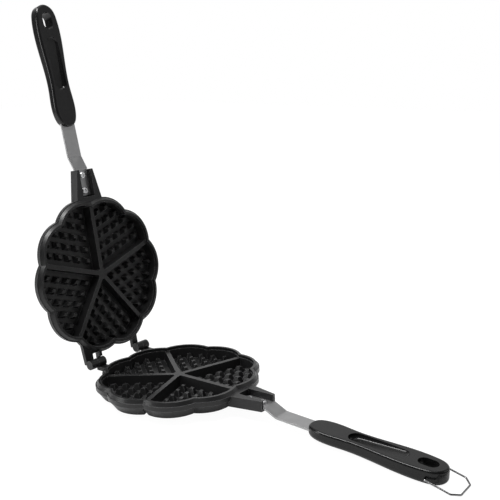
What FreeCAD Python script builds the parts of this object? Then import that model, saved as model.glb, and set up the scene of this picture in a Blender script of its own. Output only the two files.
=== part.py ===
"""Stovetop waffle pan: two cast plates with heart-shaped cells, hinged, each on a long handle.

Both halves are modelled shut, in millimetres: X runs from the plate centre to the handles,
Y lies along the hinge and Z = 0 is the plane where the plates meet. Every piece is drawn on the
lower side of that plane. The upper half is then mirrored and swung open onto its stop, and the
whole pan is tipped so that it stands on the table on its back edge, its grip and its loop.
"""
import FreeCAD, Part
import math
import os

V = FreeCAD.Vector
CENTRE = V(0, 0, 0)
Y_AXIS = V(0, 1, 0)
Z_AXIS = V(0, 0, 1)

# Plate casting
heart_count = 5
lobe_reach = 54.0
lobe_radius = 42.0
rim_width = 6.3
lip_setback = 3.6
lip_foot = 1.2
flange_drop = 4.0
skirt_depth = 8.9
floor_thickness = 2.7
pod_ledge = 0.5
pod_taper = 7.0
groove_top_width = 1.0
groove_bottom_width = 5.0
closing_gap = 0.3

# Cells and their pegs
cell_depth = 16.4
cell_draft = 1.5
rib_width = 4.4
centre_boss_diameter = 13.0
peg_pitch = 14.0
peg_start = 14.4
peg_rows = 5
peg_base = 9.0
peg_top = 4.0
peg_height = 7.0

# Handle lug on each plate
lug_length = 39.7
lug_root_width = 42.0
lug_side = 3.4
lug_floor = 2.9
channel_wall = 6.5
strap_sink = 7.2

# Handle strap
strap_width = 20.0
strap_thickness = 2.0
tongue_width = 16.6
tongue_clearance = 0.3
tongue_end_gap = 1.8
bend_radius = 5.0
bend_rise = 7.4
bend_run = 15.5
bend_past_lug = 0.2
exposed_length = 37.0
grip_slope = 3.5

# Screws
screw_diameter = 4.0
screw_head_diameter = 8.0
screw_head_height = 2.4
screw_head_round = 1.0
screw_recess_width = 1.0
screw_recess_span = 4.6
screw_recess_depth = 1.2
screw_clearance = 0.15
thread_clearance = 0.05
inner_screw_edge = 5.7
outer_screw_edge = 6.7

# Grip
grip_length = 147.8
grip_thickness = 15.2
grip_nose_thickness = 11.8
grip_nose_width = 28.4
grip_nose_round = 15.0
grip_waist_width = 26.6
grip_waist_place = 47.0
grip_end_width = 29.6
grip_end_round = 17.0
grip_inner_round = 2.6
grip_outer_round = 5.0
tang_cover = 3.7
tang_clearance = 0.2
tang_to_trough = 4.5
grip_screw_place = 21.0
grip_screw_head_diameter = 7.6
trough_start = 44.5
trough_to_end = 38.5
trough_width = 17.0
trough_deep_end = 6.0
trough_shallow_end = 1.6
trough_round = 4.0
hole_to_end = 19.8
hole_length = 20.4
hole_width = 13.6

# Hanging loop
wire_diameter = 1.8
loop_length = 33.0
loop_bar_width = 20.8
loop_corner_length = 7.0
loop_bend_radius = 2.4
loop_pivot_to_end = 15.8
loop_pivot_depth = 7.9
loop_pin_length = 5.5
loop_side_gap = 0.5
loop_pin_clearance = 0.08
loop_table_gap = 0.05

# Hinge
open_angle = 97.5
hinge_standoff = 10.0
barrel_diameter = 11.5
near_joint = -35.6
near_boss_length = 11.0
near_barrel_length = 11.0
far_joint = 37.4
far_boss_length = 8.8
far_barrel_length = 9.8
arm_depth = 8.8
web_taper = 4.0
web_start = -18.0
web_clearance = 11.5
pin_diameter = 6.0
pin_clearance = 0.05
pin_end_gap = 1.0
boss_end_wall = 3.0
side_gap = 0.3
tooth_width = 4.0
tooth_clearance = 0.5
tooth_face = 0.5
stop_gap = 0.1
stop_bite = 1.35
stop_thickness = 3.9
stop_heel = 3.0

# Worked out from the sizes above
heart_angle = 360.0 / heart_count
lobe_angle = heart_angle / 2
half_gap = closing_gap / 2
over = 1.0
barrel_radius = barrel_diameter / 2
pin_radius = pin_diameter / 2
wire_radius = wire_diameter / 2
screw_radius = screw_diameter / 2
plate_depth = cell_depth + floor_thickness
peg_top_depth = cell_depth - peg_height
tooth_thickness = barrel_radius - stop_bite - stop_gap


def polar(radius, azimuth, z=0.0):
    """Point at a radius and an azimuth in degrees about the plate centre."""
    angle = math.radians(azimuth)
    return V(radius * math.cos(angle), radius * math.sin(angle), z)


def rim_notch(inset):
    """Radius at which two neighbouring lobes meet."""
    along = lobe_reach * math.cos(math.radians(lobe_angle / 2))
    across = lobe_reach * math.sin(math.radians(lobe_angle / 2))
    return along + math.sqrt((lobe_radius - inset) ** 2 - across ** 2)


def rim_back(inset):
    """Largest X of the lobes on either side of the X axis."""
    return lobe_reach * math.cos(math.radians(lobe_angle / 2)) + lobe_radius - inset


lug_end = rim_notch(0) + lug_length
tongue_depth = flange_drop + strap_sink
channel_floor = tongue_depth + strap_thickness
channel_width = tongue_width + 2 * tongue_clearance
channel_start = rim_notch(0) + channel_wall
lug_depth = channel_floor + lug_floor
lug_end_width = channel_width + 2 * lug_side
tongue_start = channel_start + tongue_end_gap
bend_reach = bend_radius * math.tan(math.atan2(bend_rise, bend_run) / 2)
strap_bend = V(lug_end + bend_past_lug + bend_reach, 0, -tongue_depth)
strap_knee = strap_bend + V(bend_run, 0, -bend_rise)
slope = math.radians(grip_slope)
grip_line = V(math.cos(slope), 0, -math.sin(slope))
grip_face = V(math.sin(slope), 0, math.cos(slope))
nose = strap_knee + grip_line * exposed_length + grip_face * tang_cover
tang_length = trough_start - tang_to_trough
hole_place = grip_length - hole_to_end
loop_pivot_place = grip_length - loop_pivot_to_end
hinge_x = -rim_back(0) - hinge_standoff


def arc(centre, radius, start, end):
    """Edge from start to end round a centre, the short way."""
    middle = (start - centre).normalize() + (end - centre).normalize()
    return Part.Arc(start, centre + middle.normalize() * radius, end).toShape()


def box(low, high):
    """Block between two corners."""
    size = high - low
    return Part.makeBox(size.x, size.y, size.z, low)


def bar(radius, start, end):
    """Round bar between two points."""
    return Part.makeCylinder(radius, (end - start).Length, start, end - start)


def prism(points, low, high):
    """Upright block over a plan outline."""
    corners = [V(x, y, low) for x, y in points]
    face = Part.Face(Part.makePolygon(corners + corners[:1]))
    return face.extrude(V(0, 0, high - low))


def stadium(start, end, width, low, high):
    """Upright block with round ends, along X from start to end."""
    radius = width / 2
    low_left = V(start + radius, -radius, low)
    low_right = V(end - radius, -radius, low)
    high_right = V(end - radius, radius, low)
    high_left = V(start + radius, radius, low)
    edges = [
        Part.makeLine(low_left, low_right),
        Part.Arc(low_right, V(end, 0, low), high_right).toShape(),
        Part.makeLine(high_right, high_left),
        Part.Arc(high_left, V(start, 0, low), low_left).toShape(),
    ]
    return Part.Face(Part.Wire(edges)).extrude(V(0, 0, high - low))


def lobed_outline(inset, z):
    """Closed outline of the plate: one round lobe on each side of every rib."""
    edges = []
    for lobe in range(2 * heart_count):
        start = polar(rim_notch(inset), lobe * lobe_angle, z)
        end = polar(rim_notch(inset), (lobe + 1) * lobe_angle, z)
        centre = polar(lobe_reach, (lobe + 0.5) * lobe_angle, z)
        edges.append(arc(centre, lobe_radius - inset, start, end))
    return Part.Wire(edges)


def heart_outline(inset, rib_half, z):
    """Closed heart between the ribs at azimuth 0 and heart_angle."""
    radius = lobe_radius - inset
    first = polar(lobe_reach, lobe_angle / 2, z)
    second = polar(lobe_reach, 3 * lobe_angle / 2, z)
    tip = polar(rib_half / math.sin(math.radians(lobe_angle)), lobe_angle, z)
    start = V(first.x + math.sqrt(radius ** 2 - (first.y - rib_half) ** 2), rib_half, z)
    turn = math.degrees(math.atan2(start.y, start.x))
    end = polar(math.hypot(start.x, start.y), heart_angle - turn, z)
    cleft = polar(rim_notch(inset), lobe_angle, z)
    edges = [
        Part.makeLine(tip, start),
        arc(first, radius, start, cleft),
        arc(second, radius, cleft, end),
        Part.makeLine(end, tip),
    ]
    return Part.Wire(edges)


def loft(lower, upper):
    """Straight-sided solid between two outlines."""
    return Part.makeLoft([lower, upper], True, True)


def round_the_hearts(shape):
    """Copies of a shape, one for each heart."""
    copies = []
    for heart in range(heart_count):
        turned = shape.copy()
        turned.rotate(CENTRE, Z_AXIS, heart * heart_angle)
        copies.append(turned)
    return copies


def peg(row, column):
    """Tapered peg with its sides along the two ribs of its heart, standing on the cell floor."""
    along = polar(1, 0)
    across = polar(1, heart_angle)
    centre = along * (peg_start + row * peg_pitch) + across * (peg_start + column * peg_pitch)
    spread = (peg_base - peg_top) / (cell_depth - peg_top_depth)

    def outline(depth):
        half = (peg_top + spread * (depth - peg_top_depth)) / 2
        corners = [centre + along * (half * i) + across * (half * j)
                   for i, j in ((-1, -1), (1, -1), (1, 1), (-1, 1))]
        corners = [corner - V(0, 0, depth) for corner in corners]
        return Part.makePolygon(corners + corners[:1])

    return loft(outline(cell_depth + over), outline(peg_top_depth))


def cell_space():
    """Hollow of the heart between azimuth 0 and heart_angle, without its pegs."""
    draft = cell_draft / cell_depth
    top_inset = -draft * over
    space = loft(
        heart_outline(rim_width + cell_draft, rib_width / 2 + cell_draft, -cell_depth),
        heart_outline(rim_width + top_inset, rib_width / 2 + top_inset, over),
    )
    pegs = [peg(row, column) for row in range(peg_rows) for column in range(peg_rows)
            if row + column <= peg_rows]
    boss = bar(centre_boss_diameter / 2, V(0, 0, -plate_depth), V(0, 0, 2 * over))
    return space.cut(pegs + [boss])


def plate_blank():
    """Pieces of the casting before the cells are cut: skirt, lip and one pod under each heart."""
    skirt = Part.Face(lobed_outline(0, -skirt_depth)).extrude(V(0, 0, skirt_depth - flange_drop))
    lip = loft(lobed_outline(lip_foot, -flange_drop), lobed_outline(lip_setback, -half_gap))
    pod = loft(
        heart_outline(pod_ledge + pod_taper, groove_bottom_width / 2, -plate_depth),
        heart_outline(pod_ledge, groove_top_width / 2, -skirt_depth),
    )
    return [skirt, lip] + round_the_hearts(pod)


def handle_lug():
    """Tapered lug with a channel for the strap."""
    root = rim_notch(rim_width)
    outline = [
        (root, -lug_root_width / 2),
        (lug_end, -lug_end_width / 2),
        (lug_end, lug_end_width / 2),
        (root, lug_root_width / 2),
    ]
    lug = prism(outline, -lug_depth, -flange_drop)
    channel = box(V(channel_start, -channel_width / 2, -channel_floor),
                  V(lug_end + over, channel_width / 2, over))
    return lug.cut(channel)


def screw_places():
    """X of the two strap screws."""
    return [tongue_start + inner_screw_edge, lug_end - outer_screw_edge]


def hinge_barrel(radius, low, high):
    """Round bar on the hinge axis."""
    return bar(radius, V(hinge_x, low, 0), V(hinge_x, high, 0))


def cast_plate(features, holes):
    """One plate: the blank with its lug and hinge features, its cells and its holes."""
    blank = plate_blank() + [handle_lug()] + features
    body = blank[0].fuse(blank[1:]).removeSplitter()
    basin = Part.Face(lobed_outline(rim_width, -flange_drop)).extrude(V(0, 0, flange_drop + over))
    screw_holes = [bar(screw_radius + thread_clearance, V(x, 0, -lug_depth - over), V(x, 0, 0))
                   for x in screw_places()]
    return body.cut([basin] + round_the_hearts(cell_space()) + screw_holes + holes)


def lower_plate():
    """Plate with two hinge barrels, and a stop behind the near one."""
    features = []
    holes = []
    for joint, length in ((near_joint, near_barrel_length), (far_joint, far_barrel_length)):
        low = joint + side_gap / 2
        high = low + length
        features.append(hinge_barrel(barrel_radius, low, high))
        features.append(box(V(hinge_x, low, -arm_depth), V(-lobe_reach, high, -flange_drop)))
        holes.append(hinge_barrel(pin_radius + pin_clearance, low - over, high + over))
    features.append(open_stop())
    return cast_plate(features, holes)


def tooth_span():
    """Lowest and highest Y of the stop tooth, near the free end of the near barrel."""
    high = near_joint + side_gap / 2 + near_barrel_length
    return high - tooth_width, high


def open_stop():
    """Block behind the near barrel that the tooth of the open upper plate lies against."""
    low, high = tooth_span()
    inner = tooth_thickness + stop_gap
    block = box(V(hinge_x - stop_heel, low, inner),
                V(hinge_x + web_clearance - over, high, inner + stop_thickness))
    block.rotate(V(hinge_x, 0, 0), -Y_AXIS, open_angle)
    return block


def upper_plate():
    """Plate with two bosses that hold the hinge pins, and the tooth that stops it when open."""
    near_edge = near_joint - side_gap / 2
    near_end = near_edge - near_boss_length
    far_edge = far_joint - side_gap / 2
    far_end = far_edge - far_boss_length
    web_edge = hinge_x + web_clearance
    web = prism([
        (-lobe_reach, web_start),
        (web_edge, web_start),
        (web_edge, near_edge),
        (hinge_x, near_edge),
        (hinge_x, near_end),
        (-lobe_reach, near_end - web_taper),
    ], -arm_depth, -flange_drop)
    far_arm = box(V(hinge_x, far_end, -arm_depth), V(-lobe_reach, far_edge, -flange_drop))
    low, high = tooth_span()
    tooth = box(V(hinge_x + barrel_radius + tooth_clearance, low, -tooth_thickness),
                V(web_edge + over, high, -tooth_face))
    features = [
        web,
        hinge_barrel(barrel_radius, near_end, near_edge),
        far_arm,
        hinge_barrel(barrel_radius, far_end, far_edge),
        tooth,
    ]
    holes = [
        hinge_barrel(pin_radius, near_end + boss_end_wall, near_edge + over),
        hinge_barrel(pin_radius, far_end + boss_end_wall, far_edge + over),
    ]
    return cast_plate(features, holes)


def hinge_pin(joint, boss_length, barrel_length):
    """Pin from its blind hole in the upper boss, through the lower barrel."""
    boss_end = joint - side_gap / 2 - boss_length
    tip = joint + side_gap / 2 + barrel_length + pin_end_gap
    return hinge_barrel(pin_radius, boss_end + boss_end_wall, tip)


def bent_line(points, radii):
    """Line through the points, with an arc of its own radius at every inner corner."""
    edges = []
    start = points[0]
    for before, corner, after, radius in zip(points, points[1:], points[2:], radii):
        into = (corner - before).normalize()
        out = (after - corner).normalize()
        reach = radius * math.tan(into.getAngle(out) / 2)
        leave = corner - into * reach
        join = corner + out * reach
        centre = corner + (out - into).normalize() * math.hypot(radius, reach)
        edges.append(Part.makeLine(start, leave))
        edges.append(arc(centre, radius, leave, join))
        start = join
    edges.append(Part.makeLine(start, points[-1]))
    return Part.Wire(edges)


def bent_strip(corners, width):
    """Flat strip along a bent line in the XZ plane, whose upper face passes through the corners."""
    first = corners[0]
    section = Part.makePolygon([
        first + V(0, -width / 2, 0),
        first + V(0, width / 2, 0),
        first + V(0, width / 2, -strap_thickness),
        first + V(0, -width / 2, -strap_thickness),
        first + V(0, -width / 2, 0),
    ])
    line = bent_line(corners, [bend_radius, bend_radius])
    return line.makePipeShell([section], True, False)


def handle_strap():
    """Steel strap: narrow tongue in the lug, two bends, then the tang inside the grip."""
    tang_end = strap_knee + grip_line * (exposed_length + tang_length)
    tongue_end = V(tongue_start, 0, -tongue_depth)
    strap = bent_strip([tongue_end, strap_bend, strap_knee, tang_end], strap_width)
    shoulder = lug_end + tongue_clearance
    cuts = []
    for side in (-1, 1):
        middle = side * (tongue_width / 2 + strap_width)
        cuts.append(box(V(tongue_start - over, middle - strap_width, -lug_depth - bend_rise),
                        V(shoulder, middle + strap_width, over)))
    for x in screw_places():
        cuts.append(bar(screw_radius + screw_clearance, V(x, 0, -lug_depth), V(x, 0, 0)))
    tang_hole = bar(screw_radius + screw_clearance, V(grip_screw_place, 0, -grip_thickness),
                    V(grip_screw_place, 0, 0))
    return strap.cut(cuts + [on_grip(tang_hole)])


def strap_screw(x):
    """Pan-head screw through the tongue into the lug."""
    seat = V(x, 0, -tongue_depth)
    head = bar(screw_head_diameter / 2, seat, seat + V(0, 0, screw_head_height))
    top = seat.z + screw_head_height
    crown = [edge for edge in head.Edges if edge.Closed and edge.CenterOfMass.z > top - screw_head_round]
    head = head.makeFillet(screw_head_round, crown)
    shank = bar(screw_radius, V(x, 0, -lug_depth), seat)
    return head.fuse(shank).removeSplitter().cut(cross_recess(V(x, 0, top)))


def cross_recess(place):
    """Two crossed slots, as deep into a screw head as they stand out of it."""
    sizes = V(screw_recess_span / 2, screw_recess_width / 2, screw_recess_depth)
    turned = V(sizes.y, sizes.x, sizes.z)
    return [box(place - half, place + half) for half in (sizes, turned)]


def on_grip(shape):
    """Move a shape from the grip's own frame, nose at zero and inner face up, to its place."""
    placed = shape.copy()
    placed.rotate(CENTRE, Y_AXIS, grip_slope)
    placed.translate(nose)
    return placed


def grip_outline():
    """Plan of the grip: round nose, waist, and a round end."""
    nose_half = grip_nose_width / 2
    end_half = grip_end_width / 2
    end_start = grip_length - grip_end_round
    diagonal = math.sqrt(0.5)
    points = [
        (0, 0),
        (grip_nose_round * (1 - diagonal), nose_half * diagonal),
        (grip_nose_round, nose_half),
        (grip_waist_place, grip_waist_width / 2),
        (end_start, end_half),
        (end_start + grip_end_round * diagonal, end_half * diagonal),
        (grip_length, 0),
    ]
    outline = [V(x, y, 0) for x, y in points] + [V(x, -y, 0) for x, y in points[-2:0:-1]]
    curve = Part.BSplineCurve()
    curve.interpolate(Points=outline, PeriodicFlag=True)
    return Part.Wire([curve.toShape()])


def below_plane(start_depth, end_depth, start, end):
    """Block under a plane that slopes from one depth to another along the grip."""
    fall = (end_depth - start_depth) / (end - start)
    head = start_depth - fall * start
    corners = [
        V(-grip_length, -grip_length, -head + fall * grip_length),
        V(2 * grip_length, -grip_length, -head - 2 * fall * grip_length),
        V(2 * grip_length, -grip_length, -grip_length),
        V(-grip_length, -grip_length, -grip_length),
    ]
    face = Part.Face(Part.makePolygon(corners + corners[:1]))
    return face.extrude(V(0, 2 * grip_length, 0))


def outer_depth(x):
    """Depth of the grip's outer face below its inner face."""
    return grip_nose_thickness + (grip_thickness - grip_nose_thickness) * x / grip_length


def trough():
    """Finger trough in the inner face, deep at its nose end and shallow at the other."""
    end = grip_length - trough_to_end
    tool = stadium(trough_start, end, trough_width, -grip_thickness, grip_thickness)
    tool = tool.cut(below_plane(trough_deep_end, trough_shallow_end, trough_start, end))
    floor_edges = [edge for edge in tool.Edges if edge.BoundBox.ZMax < 0]
    return tool.makeFillet(trough_round, floor_edges)


def loop_half():
    """Distance of the loop's legs from the middle of the grip, clear of its widest place."""
    return grip_outline().optimalBoundingBox(False, False).YMax + loop_side_gap + wire_radius


def grip(loop_sides):
    """Moulded grip with its trough, hanging hole, tang slot and screw hole, and holes for a loop."""
    body = Part.Face(grip_outline()).extrude(V(0, 0, -2 * grip_thickness))
    body = body.cut(below_plane(grip_nose_thickness, grip_thickness, 0, grip_length))
    inner = max(body.Faces, key=lambda face: face.CenterOfMass.z)
    body = body.makeFillet(grip_inner_round, inner.Edges)
    outer = min(body.Faces, key=lambda face: face.CenterOfMass.z)
    body = body.makeFillet(grip_outer_round, outer.Edges)
    slot_half = strap_width / 2 + tang_clearance
    slot = box(V(-over, -slot_half, -tang_cover - strap_thickness - tang_clearance),
               V(tang_length + tang_clearance, slot_half, -tang_cover + tang_clearance))
    hole = stadium(hole_place - hole_length / 2, hole_place + hole_length / 2, hole_width,
                   -grip_thickness - over, over)
    cuts = [slot, hole, trough(), screw_space(screw_clearance)]
    for side in loop_sides:
        pin_end = loop_half() - loop_pin_length - loop_side_gap
        cuts.append(bar(wire_radius + loop_pin_clearance,
                        V(loop_pivot_place, side * pin_end, -loop_pivot_depth),
                        V(loop_pivot_place, side * grip_end_width, -loop_pivot_depth)))
    return on_grip(body.cut(cuts))


def screw_space(clearance):
    """Countersunk screw from the outer face through the tang, or the hole it goes in."""
    outer = V(grip_screw_place, 0, -outer_depth(grip_screw_place))
    head_radius = grip_screw_head_diameter / 2 + clearance
    radius = screw_radius + clearance
    tip = V(grip_screw_place, 0, -tang_cover + tang_clearance + clearance)
    cone = Part.makeCone(head_radius, radius, head_radius - radius, outer, Z_AXIS)
    return bar(radius, outer, tip).fuse(cone).removeSplitter()


def grip_screw():
    """Screw that holds the tang in the grip, with a cross recess in its flat head."""
    outer = V(grip_screw_place, 0, -outer_depth(grip_screw_place))
    return on_grip(screw_space(0).cut(cross_recess(outer)))


def hanging_loop(droop):
    """Wire loop whose ends turn into the sides of the grip, drooping below the plate plane."""
    corner_reach = loop_length - loop_corner_length
    bar_half = loop_bar_width / 2
    leg = loop_half()
    points = [
        V(0, loop_pin_length - leg, 0),
        V(0, -leg, 0),
        V(corner_reach, -leg, 0),
        V(loop_length, -bar_half, 0),
        V(loop_length, bar_half, 0),
        V(corner_reach, leg, 0),
        V(0, leg, 0),
        V(0, leg - loop_pin_length, 0),
    ]
    pivot_bend = loop_side_gap + wire_radius
    line = bent_line(points, [pivot_bend] + [loop_bend_radius] * 4 + [pivot_bend])
    section = Part.Wire(Part.makeCircle(wire_radius, points[0], Y_AXIS))
    loop = line.makePipeShell([section], True, False)
    loop.rotate(CENTRE, Y_AXIS, droop)
    loop.translate(loop_pivot())
    return loop


def loop_pivot():
    """Point on the loop's axis at the middle of the grip."""
    return nose + grip_line * loop_pivot_place - grip_face * loop_pivot_depth


def back_edge():
    """Rearmost point of the flat base, which the tipped pan stands on."""
    return V(-rim_back(pod_ledge + pod_taper), 0, -plate_depth)


def table_tilt():
    """Angle by which the handle end rises when the back edge and the grip's heel touch the table."""
    heel = nose + grip_line * (grip_length - grip_outer_round)
    heel = heel - grip_face * (grip_thickness - grip_outer_round)
    reach = heel - back_edge()
    return math.degrees(math.atan2(-reach.z, reach.x) + math.asin(grip_outer_round / reach.Length))


def loop_droop(tilt):
    """Angle below the plate plane at which the loop's bar lies on the table."""
    pivot = loop_pivot() - back_edge()
    angle = math.radians(tilt)
    height = pivot.x * math.sin(angle) + pivot.z * math.cos(angle)
    fall = math.asin((height - wire_radius - loop_table_gap) / loop_length)
    return math.degrees(fall) + tilt


def opened(shape):
    """Upper-half copy of a shape, swung open about the hinge."""
    upper = shape.mirror(CENTRE, Z_AXIS)
    upper.rotate(V(hinge_x, 0, 0), -Y_AXIS, open_angle)
    return upper


def stand_on_table(pieces, tilt):
    """Tip every piece onto the table, with the middle of the whole pan's footprint at the origin."""
    for shape in pieces.values():
        shape.rotate(CENTRE, -Y_AXIS, tilt)
    bounds = Part.Compound(list(pieces.values())).optimalBoundingBox(False, False)
    shift = V(-bounds.Center.x, -bounds.Center.y, -bounds.ZMin)
    for shape in pieces.values():
        shape.translate(shift)
    return shift


def main():
    """Make every piece, stand the pan on the table and write one file per piece."""
    tilt = table_tilt()
    droop = loop_droop(tilt)
    inner_screw, outer_screw = [strap_screw(x) for x in screw_places()]
    strap = handle_strap()
    fixing = grip_screw()
    pieces = {
        "lower_plate": lower_plate(),
        "lower_strap": strap,
        "lower_strap_screw_inner": inner_screw,
        "lower_strap_screw_outer": outer_screw,
        "lower_grip": grip((-1, 1)),
        "lower_grip_screw": fixing,
        "hanging_loop": hanging_loop(droop),
        "upper_plate": opened(upper_plate()),
        "upper_strap": opened(strap),
        "upper_strap_screw_inner": opened(inner_screw),
        "upper_strap_screw_outer": opened(outer_screw),
        "upper_grip": opened(grip(())),
        "upper_grip_screw": opened(fixing),
        "hinge_pin_near": opened(hinge_pin(near_joint, near_boss_length, near_barrel_length)),
        "hinge_pin_far": opened(hinge_pin(far_joint, far_boss_length, far_barrel_length)),
    }
    shift = stand_on_table(pieces, tilt)
    os.makedirs("parts", exist_ok=True)
    for name, shape in pieces.items():
        shape.exportStep("parts/" + name + ".step")
        print(name, "solids", len(shape.Solids), "valid", shape.isValid(), "mm3", round(shape.Volume))
    print("tilt", round(tilt, 4), "droop", round(droop, 4), "shift", shift)
    points = {"hinge": V(hinge_x, 0, 0), "loop": loop_pivot(), "base": V(0, 0, -plate_depth)}
    for name, point in points.items():
        print(name, FreeCAD.Rotation(-Y_AXIS, tilt).multVec(point) + shift)


main()
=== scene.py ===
# %% [markdown]
# # A stovetop heart-waffle pan
# The real object is a pan of two black cast plates that fold together on a hinge. Each plate has
# five heart-shaped cells full of pegs, and sits on a bent steel strap with a long plastic grip.
# The shapes come from the CAD frame. Here they get soft edges, finishes, light and a camera.

# %% Load the frame
import math

import bpy
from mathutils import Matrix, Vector

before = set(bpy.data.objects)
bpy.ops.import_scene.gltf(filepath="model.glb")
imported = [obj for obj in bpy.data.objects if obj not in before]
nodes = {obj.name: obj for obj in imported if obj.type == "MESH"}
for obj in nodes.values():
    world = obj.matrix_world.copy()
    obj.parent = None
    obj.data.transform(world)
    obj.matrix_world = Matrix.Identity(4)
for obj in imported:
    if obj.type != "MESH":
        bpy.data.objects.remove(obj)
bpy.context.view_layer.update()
scene = bpy.context.scene

# %% [markdown]
# ## Camera
# The photo was taken from the front right, a little above the pan, with a lens of normal length.
# The camera's place was worked out from the ends of the ribs, which lie on two known planes, so
# the picture needs no lens shift: the camera simply looks at a point above the lower handle.

# %% Camera
camera_place = Vector((0.4935, -0.5775, 0.3627))
camera_target = Vector((0.00254, 0.04985, 0.1683))
camera_data = bpy.data.cameras.new("pan_camera")
camera_data.lens = 52.9
camera_data.sensor_width = 36.0
camera = bpy.data.objects.new("pan_camera", camera_data)
camera.location = camera_place
camera.rotation_euler = (camera_target - camera_place).to_track_quat("-Z", "Y").to_euler()
scene.collection.objects.link(camera)
scene.camera = camera
print("camera distance", round((camera_target - camera_place).length, 3))

# %% [markdown]
# ## Floor and background
# The photo has a plain white background. To the camera the world and most of the floor are a
# constant white, and a small part of the floor is an ordinary matt surface, so that a faint shadow
# stays under the pan. Black gloss shows what stands around it, so reflections see the studio as it
# is: a white backdrop behind the pan, and a dim grey room and floor elsewhere.

# %% Backdrop


def backdrop(tree, room, white_from, white_to):
    """Socket that falls from 1 behind the pan to the room's grey in all other directions."""
    coords = tree.nodes.new("ShaderNodeTexCoord")
    ahead = tree.nodes.new("ShaderNodeVectorMath")
    ahead.operation = "DOT_PRODUCT"
    ahead.inputs[1].default_value = (camera_target - camera_place).normalized()
    tree.links.new(coords.outputs["Generated"], ahead.inputs[0])
    fall = tree.nodes.new("ShaderNodeMapRange")
    fall.interpolation_type = "SMOOTHSTEP"
    fall.inputs["From Min"].default_value = white_from
    fall.inputs["From Max"].default_value = white_to
    fall.inputs["To Min"].default_value = room
    tree.links.new(ahead.outputs["Value"], fall.inputs["Value"])
    return fall.outputs["Result"]


def by_ray(tree, plain, seen, glossy):
    """Value for lighting rays, for camera and transmission rays, and for glossy rays."""
    path = tree.nodes.new("ShaderNodeLightPath")
    clear = tree.nodes.new("ShaderNodeMath")
    clear.operation = "MAXIMUM"
    tree.links.new(path.outputs["Is Camera Ray"], clear.inputs[0])
    tree.links.new(path.outputs["Is Transmission Ray"], clear.inputs[1])
    mirror = tree.nodes.new("ShaderNodeMix")
    mirror.inputs["A"].default_value = plain
    tree.links.new(path.outputs["Is Glossy Ray"], mirror.inputs["Factor"])
    if isinstance(glossy, float):
        mirror.inputs["B"].default_value = glossy
    else:
        tree.links.new(glossy, mirror.inputs["B"])
    shown = tree.nodes.new("ShaderNodeMix")
    shown.inputs["B"].default_value = seen
    tree.links.new(clear.outputs[0], shown.inputs["Factor"])
    tree.links.new(mirror.outputs["Result"], shown.inputs["A"])
    return shown.outputs["Result"]


# %% World
world = bpy.data.worlds.new("white_studio")
scene.world = world
world.use_nodes = True
world_tree = world.node_tree
world_light = world_tree.nodes["Background"]
world_light.inputs["Color"].default_value = (1.0, 1.0, 1.0, 1.0)
room_level = 0.06
white_from = 0.0
white_to = 0.88
room_grey = backdrop(world_tree, room_level, white_from, white_to)
sky_level = 0.4
seen_white = 1.0
world_strength = by_ray(world_tree, sky_level, seen_white, room_grey)
world_tree.links.new(world_strength, world_light.inputs["Strength"])
print("world ready")

# %% Floor
floor_half = 6.0
floor_level = -0.0003
floor_grey = 0.8
floor_glow = 1.13
floor_glow_seen = 0.85
floor_glow_in_gloss = 0.12
floor_mesh = bpy.data.meshes.new("floor")
floor_corners = [(-floor_half, -floor_half), (floor_half, -floor_half),
                 (floor_half, floor_half), (-floor_half, floor_half)]
floor_mesh.from_pydata([(x, y, floor_level) for x, y in floor_corners], [], [(0, 1, 2, 3)])
floor = bpy.data.objects.new("floor", floor_mesh)
scene.collection.objects.link(floor)
floor_finish = bpy.data.materials.new("pale_floor")
floor_finish.use_nodes = True
floor_tree = floor_finish.node_tree
matt = floor_tree.nodes["Principled BSDF"]
matt.inputs["Base Color"].default_value = (floor_grey, floor_grey, floor_grey, 1.0)
matt.inputs["Roughness"].default_value = 0.9
matt.inputs["Specular IOR Level"].default_value = 0.0
glow = floor_tree.nodes.new("ShaderNodeEmission")
glow.inputs["Strength"].default_value = floor_glow
blend = floor_tree.nodes.new("ShaderNodeMixShader")
glow_share = by_ray(floor_tree, 0.0, floor_glow_seen, floor_glow_in_gloss)
floor_tree.links.new(glow_share, blend.inputs["Fac"])
floor_tree.links.new(matt.outputs["BSDF"], blend.inputs[1])
floor_tree.links.new(glow.outputs["Emission"], blend.inputs[2])
floor_surface = floor_tree.nodes["Material Output"].inputs["Surface"]
floor_tree.links.new(blend.outputs["Shader"], floor_surface)
floor_mesh.materials.append(floor_finish)
print("floor ready")

# %% [markdown]
# ## Studio light
# A black coated pan shows itself by reflections more than by its own colour. A soft light stands
# on the right and lights the open plate head-on, and a weak one hangs above. A tall light on the
# left and a long strip light in line with the lower grip draw bright lines along the rounded edges
# of the two grips. The side of the camera stays dark, so that faces turned to the viewer are nearly
# black.

# %% Lights


def soft_light(name, place, target, length, width, power):
    """Rectangular area light at a place, aimed at a target, with its length level."""
    data = bpy.data.lights.new(name, "AREA")
    data.shape = "RECTANGLE"
    data.size = length
    data.size_y = width
    data.energy = power
    light = bpy.data.objects.new(name, data)
    light.location = place
    aim = Vector(target) - Vector(place)
    light.rotation_euler = aim.to_track_quat("-Z", "Y").to_euler()
    scene.collection.objects.link(light)


soft_light("right_softbox", place=(1.2, 0.9, 0.9), target=(-0.1, 0.0, 0.1),
           length=1.0, width=1.0, power=2.6)
soft_light("left_softbox", place=(-1.1, -1.2, 0.55), target=(-0.2, 0.0, 0.3),
           length=0.35, width=0.7, power=7.0)
soft_light("overhead_softbox", place=(-0.1, 0.2, 1.5), target=(0.0, 0.0, 0.0),
           length=1.0, width=1.0, power=5.0)
soft_light("strip_light", place=(-0.35, -0.4, 1.2), target=(-0.35, 0.0, 0.0),
           length=1.0, width=0.3, power=20.0)
scene.view_settings.view_transform = "Standard"

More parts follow.
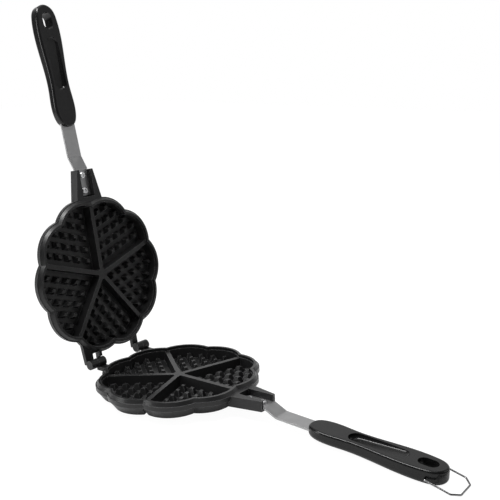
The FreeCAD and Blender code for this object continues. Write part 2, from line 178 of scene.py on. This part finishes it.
# %% [markdown]
# ## Helpers for the finishes
# Every finish is one Principled shader with its colour, roughness and fine relief driven by noise.
# The noise reads object coordinates, which are metres in the pan's own frame, so a scale of 1000
# gives grains of about a millimetre, and they stay on the piece when it moves.

# %% Finish helpers


class Finish:
    """A material with a Principled shader, and short ways to add noise, edges, ramps and relief."""

    edge_samples = 6

    def __init__(self, name):
        self.material = bpy.data.materials.new(name)
        self.material.use_nodes = True
        self.tree = self.material.node_tree
        self.shader = self.tree.nodes["Principled BSDF"]
        self.coords = self.tree.nodes.new("ShaderNodeTexCoord")

    def set(self, socket, value):
        self.shader.inputs[socket].default_value = value

    def link(self, output, target):
        self.tree.links.new(output, target)

    def noise(self, scale, detail=3.0, stretch=(1.0, 1.0, 1.0)):
        """Noise value between 0 and 1, with the coordinates stretched before it."""
        mapping = self.tree.nodes.new("ShaderNodeMapping")
        mapping.inputs["Scale"].default_value = stretch
        self.link(self.coords.outputs["Object"], mapping.inputs["Vector"])
        noise = self.tree.nodes.new("ShaderNodeTexNoise")
        noise.inputs["Scale"].default_value = scale
        noise.inputs["Detail"].default_value = detail
        self.link(mapping.outputs["Vector"], noise.inputs["Vector"])
        return noise.outputs["Fac"]

    def spread(self, value, low, high, start=0.3, end=0.7):
        """Value moved from the span start to end onto the span low to high."""
        node = self.tree.nodes.new("ShaderNodeMapRange")
        node.inputs["From Min"].default_value = start
        node.inputs["From Max"].default_value = end
        node.inputs["To Min"].default_value = low
        node.inputs["To Max"].default_value = high
        self.link(value, node.inputs["Value"])
        return node.outputs["Result"]

    def mix(self, factor, first, second):
        """Mix of two colours."""
        node = self.tree.nodes.new("ShaderNodeMix")
        node.data_type = "RGBA"
        node.inputs["A"].default_value = (*first, 1.0)
        node.inputs["B"].default_value = (*second, 1.0)
        self.link(factor, node.inputs["Factor"])
        return node.outputs["Result"]

    def blend(self, factor, first, second):
        """Mix of a colour socket and a plain colour."""
        result = self.mix(factor, second, second)
        self.link(first, result.node.inputs["A"])
        return result

    def edge_mask(self, radius, start, end):
        """Value that rises to 1 near corners, where a rounded normal leaves the surface's own."""
        rounded = self.tree.nodes.new("ShaderNodeBevel")
        rounded.samples = self.edge_samples
        rounded.inputs["Radius"].default_value = radius
        surface = self.tree.nodes.new("ShaderNodeNewGeometry")
        agree = self.tree.nodes.new("ShaderNodeVectorMath")
        agree.operation = "DOT_PRODUCT"
        self.link(rounded.outputs["Normal"], agree.inputs[0])
        self.link(surface.outputs["Normal"], agree.inputs[1])
        return self.spread(agree.outputs["Value"], 1.0, 0.0, 1.0 - end, 1.0 - start)

    def add(self, first, second):
        """Sum of two values."""
        node = self.tree.nodes.new("ShaderNodeMath")
        node.operation = "ADD"
        self.link(first, node.inputs[0])
        self.link(second, node.inputs[1])
        return node.outputs["Value"]

    def relief(self, height, depth, strength):
        """Bump of the given depth in metres."""
        node = self.tree.nodes.new("ShaderNodeBump")
        node.inputs["Strength"].default_value = strength
        node.inputs["Distance"].default_value = depth
        self.link(height, node.inputs["Height"])
        self.link(node.outputs["Normal"], self.shader.inputs["Normal"])


def dress(names, material):
    """Give the named CAD nodes one material."""
    for name in names:
        node = nodes[name]
        node.data.materials.clear()
        node.data.materials.append(material)
    print(material.name, "on", len(names), "nodes")


# %% [markdown]
# ## Soft edges
# A casting leaves its mould with rounded corners, and a bent strap has broken edges. The CAD meshes
# are triangles with sharp corners. Three modifiers give them their edges without touching the mesh:
# a weld joins the triangles, a planar dissolve makes whole faces of them, and a bevel rounds every
# corner that is sharper than sharp_angle. The widths are in metres.

# %% Edge rounding


weld_distance = 1e-6
flat_angle = math.radians(0.3)
sharp_angle = math.radians(32.0)
face_weight = 50
plate_edge = 0.0006
plate_edge_segments = 3
strap_edge = 0.0003
strap_edge_segments = 2


def round_edges(name, width, segments):
    """Weld, planar dissolve and bevel on a CAD node, then normals weighted by face size."""
    node = nodes[name]
    weld = node.modifiers.new("weld", "WELD")
    weld.merge_threshold = weld_distance
    flat = node.modifiers.new("whole_faces", "DECIMATE")
    flat.decimate_type = "DISSOLVE"
    flat.angle_limit = flat_angle
    bevel = node.modifiers.new("soft_edges", "BEVEL")
    bevel.width = width
    bevel.segments = segments
    bevel.limit_method = "ANGLE"
    bevel.angle_limit = sharp_angle
    bevel.use_clamp_overlap = True
    bevel.harden_normals = False
    weighted = node.modifiers.new("even_normals", "WEIGHTED_NORMAL")
    weighted.keep_sharp = False
    weighted.weight = face_weight


plates = ["lower_plate", "upper_plate"]
straps = ["lower_strap", "upper_strap"]
for plate in plates:
    round_edges(plate, plate_edge, plate_edge_segments)
for strap in straps:
    round_edges(strap, strap_edge, strap_edge_segments)
print("rounded", plates + straps)

# %% [markdown]
# ## Non-stick casting
# The plates are cast aluminium under a black non-stick coat. The coat is nearly black, with a satin
# gloss and a fine orange-peel grain left by spraying. A broad noise varies colour and gloss a
# little, and a fine one gives the grain. A narrow band along corners is painted greyer. It is a painted
# highlight that stands in for light caught on the rounded edges. Painting that by hand would take a
# map of its own. Here a Bevel node rounds the normal, and the band is wherever that leaves the
# surface's own normal.

# %% Coated casting
coat = Finish("coated_casting")
clouds = coat.noise(45.0, 4.0)
grain = coat.noise(1600.0, 2.0)
# Painted highlight: a mask for a greyer band along every corner, in place of light on the rounded edges.
edges = coat.edge_mask(radius=0.0007, start=0.05, end=0.3)
coat_black = (0.005, 0.005, 0.0052)
coat_charcoal = (0.009, 0.009, 0.0092)
# Grey of the painted edge highlight.
coat_edge_highlight = (0.13, 0.13, 0.132)
black_coat = coat.mix(clouds, coat_black, coat_charcoal)
coat.link(coat.blend(edges, black_coat, coat_edge_highlight), coat.shader.inputs["Base Color"])
coat.link(coat.add(coat.spread(clouds, 0.33, 0.39), coat.spread(grain, 0.0, 0.06)),
          coat.shader.inputs["Roughness"])
coat.set("Specular IOR Level", 0.36)
coat.relief(grain, 0.00012, 0.35)
dress(plates, coat.material)

# %% [markdown]
# ## Strap steel
# The straps are cold-rolled steel with a satin finish. Rolling leaves fine lines along the strip.
# All straps lie across Y, so noise that is stretched everywhere but along Y makes lines that run
# along each strap.

# %% Satin steel
steel = Finish("satin_steel")
rolled_stretch = (60.0, 5200.0, 60.0)
lines = steel.noise(1.0, 3.0, rolled_stretch)
blotches = steel.noise(90.0, 3.0)
steel_dark = (0.3, 0.3, 0.303)
steel_pale = (0.38, 0.38, 0.383)
steel.link(steel.mix(blotches, steel_dark, steel_pale), steel.shader.inputs["Base Color"])
steel.set("Metallic", 1.0)
steel.link(steel.add(steel.spread(lines, 0.36, 0.48), steel.spread(blotches, 0.0, 0.05)),
           steel.shader.inputs["Roughness"])
steel.relief(lines, 0.00004, 0.3)
dress(straps, steel.material)

# %% [markdown]
# ## Screws, pins and wire
# The screws and pins are bright plated steel, and the loop is polished wire. Both are metal with a
# low roughness; faint noise keeps their reflections from being perfectly even.

# %% Bright steel
bright = Finish("bright_steel")
spots = bright.noise(700.0, 3.0)
plated_dark = (0.58, 0.58, 0.585)
plated_pale = (0.74, 0.74, 0.75)
bright.link(bright.mix(spots, plated_dark, plated_pale), bright.shader.inputs["Base Color"])
bright.set("Metallic", 1.0)
bright.link(bright.spread(spots, 0.22, 0.34), bright.shader.inputs["Roughness"])
bright.relief(spots, 0.00003, 0.2)
screws = [name for name in nodes if "screw" in name or "pin" in name]
dress(screws, bright.material)

# %% Polished wire
wire = Finish("polished_wire")
drawn = wire.noise(500.0, 3.0)
wire_dark = (0.2, 0.2, 0.203)
wire_pale = (0.28, 0.28, 0.283)
wire.link(wire.mix(drawn, wire_dark, wire_pale), wire.shader.inputs["Base Color"])
wire.set("Metallic", 1.0)
wire.link(wire.spread(drawn, 0.12, 0.22), wire.shader.inputs["Roughness"])
wire.relief(drawn, 0.00003, 0.15)
dress(["hanging_loop"], wire.material)

# %% [markdown]
# ## Grip plastic
# The grips are black phenolic mouldings. Their flat inner faces come out of the mould satin, and
# the rounded sides are polished. The object-space normal tells the two apart: where it points the
# way the flat face does, the roughness rises.

# %% Phenolic grips


plastic_black = (0.004, 0.004, 0.0042)
plastic_charcoal = (0.008, 0.008, 0.0082)
polished_rough = 0.14
satin_rough = 0.4
face_from = 0.93
face_to = 0.995


def phenolic(name, face_normal):
    """Black moulded plastic, satin where the surface faces along face_normal."""
    plastic = Finish(name)
    flecks = plastic.noise(2200.0, 2.0)
    shade = plastic.noise(55.0, 3.0)
    facing = plastic.tree.nodes.new("ShaderNodeVectorMath")
    facing.operation = "DOT_PRODUCT"
    facing.inputs[1].default_value = face_normal
    plastic.link(plastic.coords.outputs["Normal"], facing.inputs[0])
    satin = plastic.spread(facing.outputs["Value"], polished_rough, satin_rough, face_from, face_to)
    plastic.link(plastic.mix(shade, plastic_black, plastic_charcoal), plastic.shader.inputs["Base Color"])
    fleck_rough = plastic.spread(flecks, 0.0, 0.05)
    plastic.link(plastic.add(satin, fleck_rough), plastic.shader.inputs["Roughness"])
    plastic.set("Specular IOR Level", 0.25)
    plastic.relief(flecks, 0.00005, 0.2)
    return plastic.material


lower_face = (0.008, 0.0, 1.0)
upper_face = (0.97, 0.0, 0.243)
dress(["lower_grip"], phenolic("lower_phenolic", lower_face))
dress(["upper_grip"], phenolic("upper_phenolic", upper_face))
